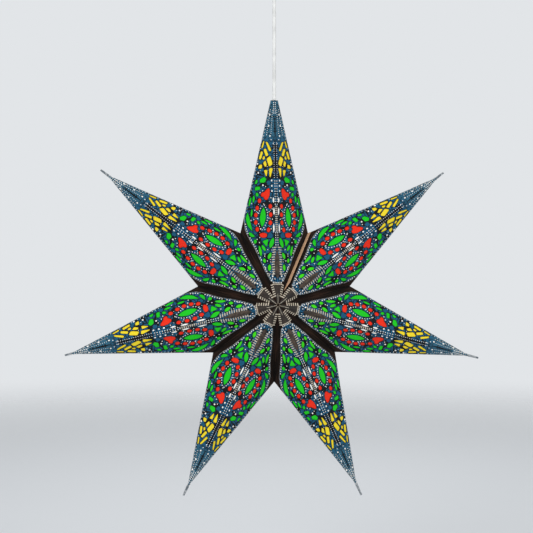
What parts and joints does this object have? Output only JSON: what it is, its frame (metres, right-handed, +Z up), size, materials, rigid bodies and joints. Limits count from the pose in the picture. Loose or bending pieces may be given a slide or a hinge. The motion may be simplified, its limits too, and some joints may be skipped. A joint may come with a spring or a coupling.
{
  "type": "paper star lantern",
  "caption": "Star-shaped hanging lantern of folded dark paper with cut windows backed by coloured tissue, lit by a bulb inside and hung by a cord from a ceiling rose.",
  "frame": {"origin": "middle of the ceiling face of the rose, where the lantern is fixed", "axes": "+Z up through the ceiling, the star hangs along -Z, its front faces -Y, +X to the right seen from the front"},
  "size_m": [0.5854, 0.1394, 0.7657],
  "materials": {
    "printed_paper": "matt printed paper, dark blue with white dots, brown in the valleys",
    "yellow_tissue": "translucent tissue, lit from inside",
    "green_tissue": "translucent tissue, lit from inside",
    "red_tissue": "translucent tissue, lit from inside",
    "frosted_bulb": "frosted",
    "brass": "satin",
    "white_plastic": "satin moulded",
    "clear_plastic": "moulded",
    "white_cord": "smooth round sheath"
  },
  "bodies": {
    "root": {"top_point": "printed_paper", "top_yellow_tissue": "yellow_tissue", "top_green_tissue": "green_tissue", "top_red_tissue": "red_tissue", "upper_right_point": "printed_paper", "upper_right_yellow_tissue": "yellow_tissue", "upper_right_green_tissue": "green_tissue", "upper_right_red_tissue": "red_tissue", "right_point": "printed_paper", "right_yellow_tissue": "yellow_tissue", "right_green_tissue": "green_tissue", "right_red_tissue": "red_tissue", "lower_right_point": "printed_paper", "lower_right_yellow_tissue": "yellow_tissue", "lower_right_green_tissue": "green_tissue", "lower_right_red_tissue": "red_tissue", "lower_left_point": "printed_paper", "lower_left_yellow_tissue": "yellow_tissue", "lower_left_green_tissue": "green_tissue", "lower_left_red_tissue": "red_tissue", "left_point": "printed_paper", "left_yellow_tissue": "yellow_tissue", "left_green_tissue": "green_tissue", "left_red_tissue": "red_tissue", "upper_left_point": "printed_paper", "upper_left_yellow_tissue": "yellow_tissue", "upper_left_green_tissue": "green_tissue", "upper_left_red_tissue": "red_tissue", "bulb": "frosted_bulb", "screw_shell": "brass", "centre_contact": "brass", "holder_body": "white_plastic", "holder_cap": "white_plastic", "cord_stop": "white_plastic", "cord": "white_cord", "rose_base": "white_plastic", "rose_cover": "white_plastic", "cord_grip": "white_plastic", "grip_nut": "white_plastic", "terminal_block": "clear_plastic"}
  },
  "joints": []
}
